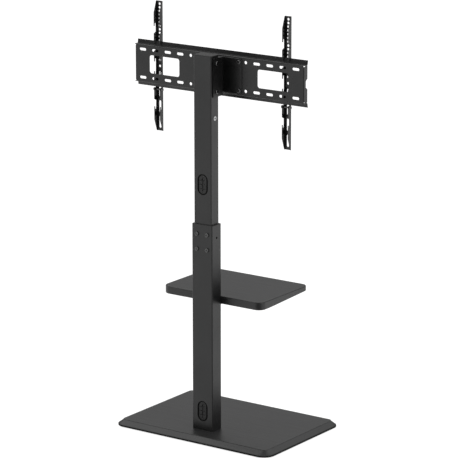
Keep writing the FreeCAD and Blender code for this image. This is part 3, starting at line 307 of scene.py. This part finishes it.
def plated_steel(name, tone, sheen, spangle):
    """Zinc-plated steel: crystal facets of slightly different tone and gloss, with fine handling marks."""
    material, tree, shader, place = start_finish(name)
    facet = put(tree, "ShaderNodeSeparateColor", {0: cells(tree, place, spangle)["Color"]}).outputs[0]
    marks = noise(tree, stretched(tree, place, (900.0, 60.0, 900.0)), 1.0)
    colour = blend(tree, facet, grey(tone * 0.86, -0.01), grey(tone * 1.1, -0.01))
    colour = blend(tree, dusty(tree, place, 0.05), colour, DUST_ON_PLATE)
    rough = spread(tree, facet, 0.0, 1.0, sheen - 0.05, sheen + 0.06)
    rough = add(tree, rough, times(tree, marks, 0.08))
    shader.inputs["Metallic"].default_value = 1.0
    dress(tree, shader, colour, rough, marks, 0.02 * MM)
    return material


def pad_rubber():
    """Matt rubber: fine granular grain, and paler edges that are partly chalky wear and partly painted
    highlight.
    """
    material, tree, shader, place = start_finish("pad rubber")
    grains = noise(tree, place, 1800.0, 2.0, 0.6)
    colour = blend(tree, grains, grey(0.004), grey(0.008))
    colour = blend(tree, worn_and_highlit(tree, place, 1.0 * MM, 0.5), colour, grey(0.02))
    rough = spread(tree, grains, 0.3, 0.7, 0.72, 0.88)
    shader.inputs["Specular IOR Level"].default_value = 0.12
    dress(tree, shader, colour, rough, grains, 0.12 * MM)
    return material


finishes = {
    "board_film": board_film(),
    "tube_paint": painted_steel(
        "column powder coat", grey(0.006, -0.02), sheen=0.36, peel=620.0, depth=0.05 * MM),
    "mount_paint": painted_steel(
        "mount powder coat", grey(0.005, -0.01), sheen=0.36, peel=680.0, depth=0.05 * MM, wear_and_highlight_amount=0.6),
    "black_plastic": moulded_plastic(
        "cover plastic", tone=0.006, sheen=0.50, grain=1400.0, depth=0.06 * MM),
    "black_fastener": painted_steel(
        "blackened bolts", grey(0.004), sheen=0.13, peel=1500.0, depth=0.01 * MM,
        worn_and_highlit_tone=0.03, wear_and_highlight_amount=0.4, ior=1.9),
    "plain_steel": plated_steel("zinc plate", tone=0.56, sheen=0.36, spangle=420.0),
    "bush_steel": plated_steel("bright ring", tone=0.50, sheen=0.26, spangle=900.0),
    "washer_nylon": moulded_plastic(
        "nylon washer", tone=0.12, sheen=0.42, grain=1100.0, depth=0.03 * MM),
    "pad_rubber": pad_rubber(),
}
for piece in frame["record"]["subparts"]:
    slots = frame["nodes"][piece["node"]].data.materials
    slots.clear()
    slots.append(finishes[piece["material_slot"]])


# New pieces.

def show(name, data):
    """New object of that data in the scene."""
    thing = bpy.data.objects.new(name, data)
    bpy.context.scene.collection.objects.link(thing)
    return thing


def new_piece(name, points, quads, slot, body):
    """Object of those points and quads, in metres, riding on a body with the finish of a slot."""
    mesh = bpy.data.meshes.new(name)
    mesh.from_pydata(points.tolist(), [], quads.tolist())
    mesh.update()
    mesh.materials.append(finishes[slot])
    mesh.polygons.foreach_set("use_smooth", np.ones(len(mesh.polygons), bool))
    thing = show(name, mesh)
    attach(thing, body)
    return thing


def grid_quads(rows, columns, close_rows=False, close_columns=False):
    """Quads of a grid of points, row after row, closed on itself where asked."""
    r = np.arange(rows if close_rows else rows - 1)[:, None]
    c = np.arange(columns if close_columns else columns - 1)[None, :]
    r_next, c_next = (r + 1) % rows, (c + 1) % columns
    corners = (r * columns + c, r * columns + c_next, r_next * columns + c_next, r_next * columns + c)
    return np.stack(corners, axis=-1).reshape(-1, 4)


def ease(value, start, end):
    """0 before start, 1 after end, with an S-curve between."""
    t = np.clip((value - start) / (end - start), 0.0, 1.0)
    return t * t * (3.0 - 2.0 * t)


def steps(*stops):
    """Points from stop to stop, each given as (place, number of steps up to it)."""
    runs = [np.linspace(a[0], b[0], b[1], endpoint=False) for a, b in zip(stops, stops[1:])]
    return np.concatenate(runs + [[stops[-1][0]]])


# Cable covers and the dark rings round them, painted shade in the gap between cover and tube, in millimetres.

COVER_HALF_WIDTH = 14.9
COVER_HALF_HEIGHT = 30.9
COVER_BORDER = 6.5
COVER_END_WIDTH = 0.1
RIM_ROUND = 1.1
FLAP_STEP = 0.45
FLAP_MARGIN = 4.0
FLAP_CROWN = 0.35
SLIT_HALF = 1.3
SLIT_BAND = 2.4 * SLIT_HALF
SLIT_PITCH = 14.0
SLIT_CUT = 2.2
# Dark ring of painted shade in the gap round a cover.
SHADE_RING_MIDDLE = 2.7
SHADE_RING_HALF_WIDTH = 4.0
SHADE_RING_HALF_THICKNESS = 0.9
SHADE_RING_SQUARENESS = 0.45
SHADE_RING_STEPS = 96
SHADE_RING_SECTION_STEPS = 24

# Depths in from the tube's rear face.
COVER_DEPTH = 0.4
COVER_BACK_DEPTH = 3.4
SHADE_RING_DEPTH = 3.1

# Distances in from the cover's rim between which a form comes up.
FLAP_STEP_AT = (3.0, 4.2)
FLAP_CROWN_AT = (3.6, 5.5)

# Distances out from a slit's edge between which its wall runs out.
SLIT_ROUND = (-0.35, 0.30)


def oval_path(half_width, half_height, count):
    """Closed oval of two half circles and two straight sides: points and outward normals, evenly spaced."""
    straight = half_height - half_width
    arc = math.pi * half_width
    length = 2 * (arc + 2 * straight)
    s = np.arange(count) / count * length
    side = s >= length / 2
    s = np.where(side, s - length / 2, s)
    angle = np.clip(s / half_width, 0.0, math.pi)
    down = np.clip(s - arc, 0.0, None)
    x, z = half_width * np.cos(angle), straight + half_width * np.sin(angle) - down
    nx, nz = np.cos(angle), np.sin(angle)
    flip = np.where(side, -1.0, 1.0)
    return np.stack([x * flip, z * flip], 1), np.stack([nx * flip, nz * flip], 1)


def squared(wave):
    """Sine or cosine raised to a small power with its sign kept, which makes a circle squarish."""
    return np.sign(wave) * np.abs(wave) ** SHADE_RING_SQUARENESS


def gap_shade_ring(name, body, face, middle):
    """Dark rubber ring behind the tube wall round a cover, painted shade in the gap between cover and tube: a
    squarish round section, a power of sine and cosine, carried round the cover's oval."""
    path, normal = oval_path(COVER_HALF_WIDTH, COVER_HALF_HEIGHT, SHADE_RING_STEPS)
    corner = np.linspace(0.0, 2 * math.pi, SHADE_RING_SECTION_STEPS, endpoint=False)
    out = SHADE_RING_MIDDLE + SHADE_RING_HALF_WIDTH * squared(np.cos(corner))
    deep = SHADE_RING_DEPTH + SHADE_RING_HALF_THICKNESS * squared(np.sin(corner))
    ring = path[:, None, :] + normal[:, None, :] * out[None, :, None]
    ring = np.stack([ring[..., 0], np.broadcast_to(deep, ring.shape[:2]), ring[..., 1]], -1).reshape(-1, 3)
    points = ring + np.array([0.0, face, middle])
    quads = grid_quads(SHADE_RING_STEPS, SHADE_RING_SECTION_STEPS, True, True)
    return new_piece(name, points * MM, quads, "pad_rubber", body)


def cover_depth(x, z):
    """Depth of a cover's front over its oval: a rounded rim, a shallow step down to the flaps, a crown on
    each flap that falls off with the fourth power of the way from its middle, and narrow slits."""
    round_end = COVER_HALF_HEIGHT - COVER_HALF_WIDTH
    to_rim = COVER_HALF_WIDTH - np.hypot(x, np.clip(np.abs(z) - round_end, 0.0, None))
    short = np.clip(RIM_ROUND - to_rim, 0.0, RIM_ROUND)
    rim = RIM_ROUND - np.sqrt(np.clip(RIM_ROUND ** 2 - short ** 2, 0.0, None))
    step = FLAP_STEP * ease(to_rim, *FLAP_STEP_AT)
    row = (z + SLIT_PITCH * 2) / SLIT_PITCH % 1.0 * 2.0 - 1.0
    column = np.clip(np.abs(x) / (COVER_HALF_WIDTH - FLAP_MARGIN) * 2.0 - 1.0, -1.0, 1.0)
    crown = FLAP_CROWN * (1 - row ** 4) * (1 - column ** 4) * ease(to_rim, *FLAP_CROWN_AT)
    nearest_row = np.clip(np.round(z / SLIT_PITCH), -1, 1) * SLIT_PITCH
    across = np.maximum(np.abs(z - nearest_row) - SLIT_HALF, np.abs(x) - (COVER_HALF_WIDTH - COVER_BORDER))
    along = np.maximum(np.abs(x) - SLIT_HALF, np.abs(z) - (round_end + COVER_BORDER))
    cut = SLIT_CUT * (1.0 - ease(np.minimum(across, along), *SLIT_ROUND))
    return COVER_DEPTH + rim + step - crown + cut


def cable_cover(name, node, body, face, middle):
    """Moulded oval cover: a front sheet whose depth is worked out over the oval, a flat back sheet and the
    wall between their borders. Each row's places across are shares of the oval's width at that height."""
    marks = [(-COVER_HALF_HEIGHT, 0)]
    for row in (-1, 0, 1):
        slit = row * SLIT_PITCH
        marks += [(slit - SLIT_BAND, 16), (slit + SLIT_BAND, 10)]
    z = steps(*marks, (COVER_HALF_HEIGHT, 16))[:, None]
    u = steps((-1.0, 0), (-0.90, 8), (-0.10, 22), (0.10, 14), (0.90, 22), (1.0, 8))
    over = np.clip(np.abs(z) - (COVER_HALF_HEIGHT - COVER_HALF_WIDTH), 0.0, None)
    width = np.sqrt(np.clip(COVER_HALF_WIDTH ** 2 - over ** 2, COVER_END_WIDTH ** 2, None))
    x = u[None, :] * width
    z = np.broadcast_to(z, x.shape)
    front = np.stack([x, cover_depth(x, z), z], -1).reshape(-1, 3)
    back = front.copy()
    back[:, 1] = COVER_BACK_DEPTH
    rows, columns = x.shape
    sheet = grid_quads(rows, columns)
    total = rows * columns
    index = np.arange(total).reshape(rows, columns)
    border = np.concatenate([index[0, :-1], index[:-1, -1], index[-1, :0:-1], index[:0:-1, 0]])
    ahead = np.roll(border, -1)
    wall = np.stack([border, border + total, ahead + total, ahead], 1)
    points = np.concatenate([front, back]) + np.array([0.0, face, middle])
    quads = np.concatenate([sheet, sheet[:, ::-1] + total, wall])
    cover = new_piece(name, points * MM, quads, "black_plastic", body)
    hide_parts(node)
    return cover


for side, body in (("lower", "stand"), ("upper", "mast")):
    low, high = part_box(side + "_cable_cover")
    tube_face = low.y / MM - COVER_DEPTH
    middle = (low.z + high.z) / 2 / MM
    cable_cover(side + "_cover_flaps", side + "_cable_cover", body, tube_face, middle)
    # A dark ring round each cover paints the shade in the gap between cover and tube.
    gap_shade_ring(side + "_gap_shade_ring", body, tube_face, middle)


# Floor, light and camera.

DIM_CORNER = (0.577, -0.817, 0.0)
FLOOR_HALF = 20.0
FLOOR_TONE = 0.25
FLOOR_GLOW = 0.90
LIGHT_AIM = (0.0, 0.0, 0.7)
CAMERA_PLACE = (5.27623, -7.44929, 2.98147)
CAMERA_DEGREES = (75.8147, 0.0507, 35.2547)
CAMERA_LENS = 227.13
CAMERA_REACH = 200.0


def dim_corner(tree, place):
    """Brightness of the room by its bearing from the stand: lower in the corner behind the stand's right."""
    level = vector_maths(tree, "MULTIPLY", place, (1.0, 1.0, 0.0))[0]
    bearing = vector_maths(tree, "NORMALIZE", level)[0]
    close = vector_maths(tree, "DOT_PRODUCT", bearing, DIM_CORNER)["Value"]
    return spread(tree, close, 0.64, 0.95, 1.0, 0.04, "SMOOTHSTEP")


def board_shade(tree, place):
    """Brightness of the floor by its distance from the base board: shaded close by, then slowly lighter
    outwards."""
    beside = vector_maths(tree, "ABSOLUTE", place)[0]
    beside = vector_maths(tree, "SUBTRACT", beside, (board_high.x, board_high.y, 0.0))[0]
    beside = vector_maths(tree, "MAXIMUM", beside, (0.0, 0.0, 0.0))[0]
    away = vector_maths(tree, "LENGTH", beside)["Value"]
    return times(tree, spread(tree, away, 0.0, 0.05, 0.35, 1.0), spread(tree, away, 0.3, 5.0, 0.92, 1.16))


def seen_white(tree):
    """1 for rays that show the background itself; gloss shows it too, dimmer in the dim corner and by the
    board."""
    ray = put(tree, "ShaderNodeLightPath").outputs
    place = put(tree, "ShaderNodeTexCoord").outputs["Object"]
    gloss = times(tree, ray["Is Glossy Ray"], dim_corner(tree, place))
    gloss = times(tree, gloss, board_shade(tree, place))
    seen = maths(tree, "MAXIMUM", ray["Is Camera Ray"], gloss)
    return maths(tree, "MAXIMUM", seen, ray["Is Transmission Ray"])


def studio_floor():
    """Wide pale floor that shows white and still takes a soft shadow."""
    corners = [(x * FLOOR_HALF, y * FLOOR_HALF, 0.0) for x, y in ((-1, -1), (1, -1), (1, 1), (-1, 1))]
    mesh = bpy.data.meshes.new("studio_floor")
    mesh.from_pydata(corners, [], [(0, 1, 2, 3)])
    floor = show("studio_floor", mesh)
    material = bpy.data.materials.new("studio floor")
    material.use_nodes = True
    tree = material.node_tree
    tree.nodes.clear()
    matt = put(tree, "ShaderNodeBsdfDiffuse", {"Color": grey(FLOOR_TONE)})
    glow = put(tree, "ShaderNodeEmission", {"Strength": times(tree, seen_white(tree), FLOOR_GLOW)})
    both = put(tree, "ShaderNodeAddShader", {0: matt.outputs[0], 1: glow.outputs[0]})
    put(tree, "ShaderNodeOutputMaterial", {"Surface": both.outputs[0]})
    mesh.materials.append(material)


def soft_box(name, place, size, watts):
    """Square soft light that looks at the stand."""
    lamp = bpy.data.lights.new(name, "AREA")
    lamp.size = size
    lamp.energy = watts
    box = show(name, lamp)
    x, y, z = np.array(LIGHT_AIM) - np.array(place)
    box.location = place
    box.rotation_euler = (math.atan2(math.hypot(x, y), -z), 0.0, math.atan2(y, x) - math.pi / 2)


def studio_world():
    """Room round the floor: grey walls, lighter in front, under a white ceiling, brightest on the left and
    dim right overhead."""
    world = bpy.data.worlds.new("studio")
    bpy.context.scene.world = world
    world.use_nodes = True
    tree = world.node_tree
    tree.nodes.clear()
    x, y, z = axes_of(tree, put(tree, "ShaderNodeTexCoord").outputs["Generated"])
    walls = spread(tree, y, -0.2, 0.7, 0.15, 0.23)
    ceiling = spread(tree, x, -0.6, -0.1, 1.70, 1.22)
    ceiling = times(tree, ceiling, spread(tree, z, 0.88, 0.98, 1.0, 0.25))
    strength = spread(tree, z, 0.25, 0.75, walls, ceiling, "SMOOTHSTEP")
    sky = put(tree, "ShaderNodeBackground", {"Color": grey(1.0), "Strength": strength})
    put(tree, "ShaderNodeOutputWorld", {"Surface": sky.outputs[0]})


def photo_camera():
    """Long lens behind the stand, to its right and a little above."""
    camera = bpy.data.cameras.new("photo_camera")
    camera.sensor_width = 36.0
    camera.lens = CAMERA_LENS
    camera.clip_end = CAMERA_REACH
    holder = show("photo_camera", camera)
    holder.location = CAMERA_PLACE
    holder.rotation_euler = [math.radians(turn) for turn in CAMERA_DEGREES]
    bpy.context.scene.camera = holder


studio_floor()
studio_world()
soft_box("key_light", place=(-3.6, -2.6, 3.2), size=1.0, watts=22.0)
soft_box("side_light", place=(4.2, -1.2, 2.2), size=2.2, watts=50.0)
photo_camera()
bpy.context.scene.view_settings.view_transform = "Standard"
